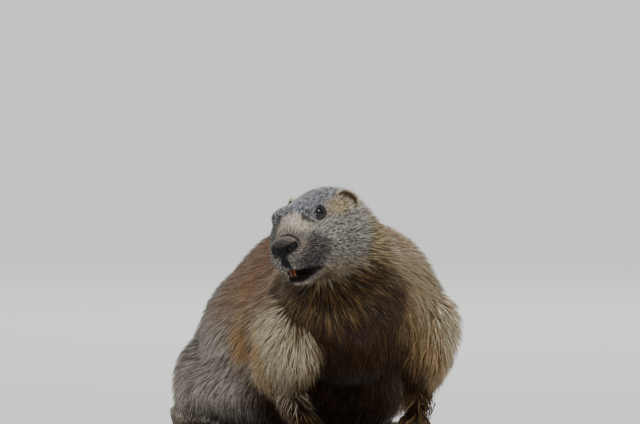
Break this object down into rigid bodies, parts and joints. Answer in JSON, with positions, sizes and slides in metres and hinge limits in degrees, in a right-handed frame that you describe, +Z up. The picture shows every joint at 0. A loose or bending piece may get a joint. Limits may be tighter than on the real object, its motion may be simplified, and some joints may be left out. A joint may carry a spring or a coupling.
{
  "type": "alpine marmot",
  "caption": "Life-size alpine marmot standing on all fours, head turned to its right and mouth a little open, a still model for displays of animals and alpine scenes.",
  "frame": {"origin": "middle of the footprint of the bounding box, on the floor", "axes": "+Z up, the marmot faces -Y, its left is +X"},
  "size_m": [0.2346, 0.6166, 0.2441],
  "materials": {
    "coat_head": "slate grey fur flecked with white, pale over the muzzle",
    "coat_neck": "straw fur, dark at the roots",
    "coat_body": "grey-brown grizzled fur with pale tips and rusty patches",
    "coat_leg": "brown fur",
    "coat_foot": "short dark fur and bare dark soles",
    "coat_tail": "brown fur, black at the tip",
    "eye": "wet black",
    "nose_skin": "black pebbled skin",
    "tooth": "orange enamel",
    "claw": "dark worn horn"
  },
  "bodies": {
    "root": {"ear_left": "coat_head", "ear_right": "coat_head", "eye_left": "eye", "eye_right": "eye", "foreclaw_left_1": "claw", "foreclaw_left_2": "claw", "foreclaw_left_3": "claw", "foreclaw_left_4": "claw", "foreclaw_right_1": "claw", "foreclaw_right_2": "claw", "foreclaw_right_3": "claw", "foreclaw_right_4": "claw", "foreleg_left": "coat_leg", "foreleg_right": "coat_leg", "forepaw_left": "coat_foot", "forepaw_right": "coat_foot", "head": "coat_head", "hindclaw_left_1": "claw", "hindclaw_left_2": "claw", "hindclaw_left_3": "claw", "hindclaw_left_4": "claw", "hindclaw_left_5": "claw", "hindclaw_right_1": "claw", "hindclaw_right_2": "claw", "hindclaw_right_3": "claw", "hindclaw_right_4": "claw", "hindclaw_right_5": "claw", "hindfoot_left": "coat_foot", "hindfoot_right": "coat_foot", "hindleg_left": "coat_leg", "hindleg_right": "coat_leg", "neck": "coat_neck", "nose": "nose_skin", "tail_base": "coat_tail", "tail_tip": "coat_tail", "torso_front": "coat_body", "torso_rear": "coat_body", "upper_incisors": "tooth"}
  },
  "joints": []
}
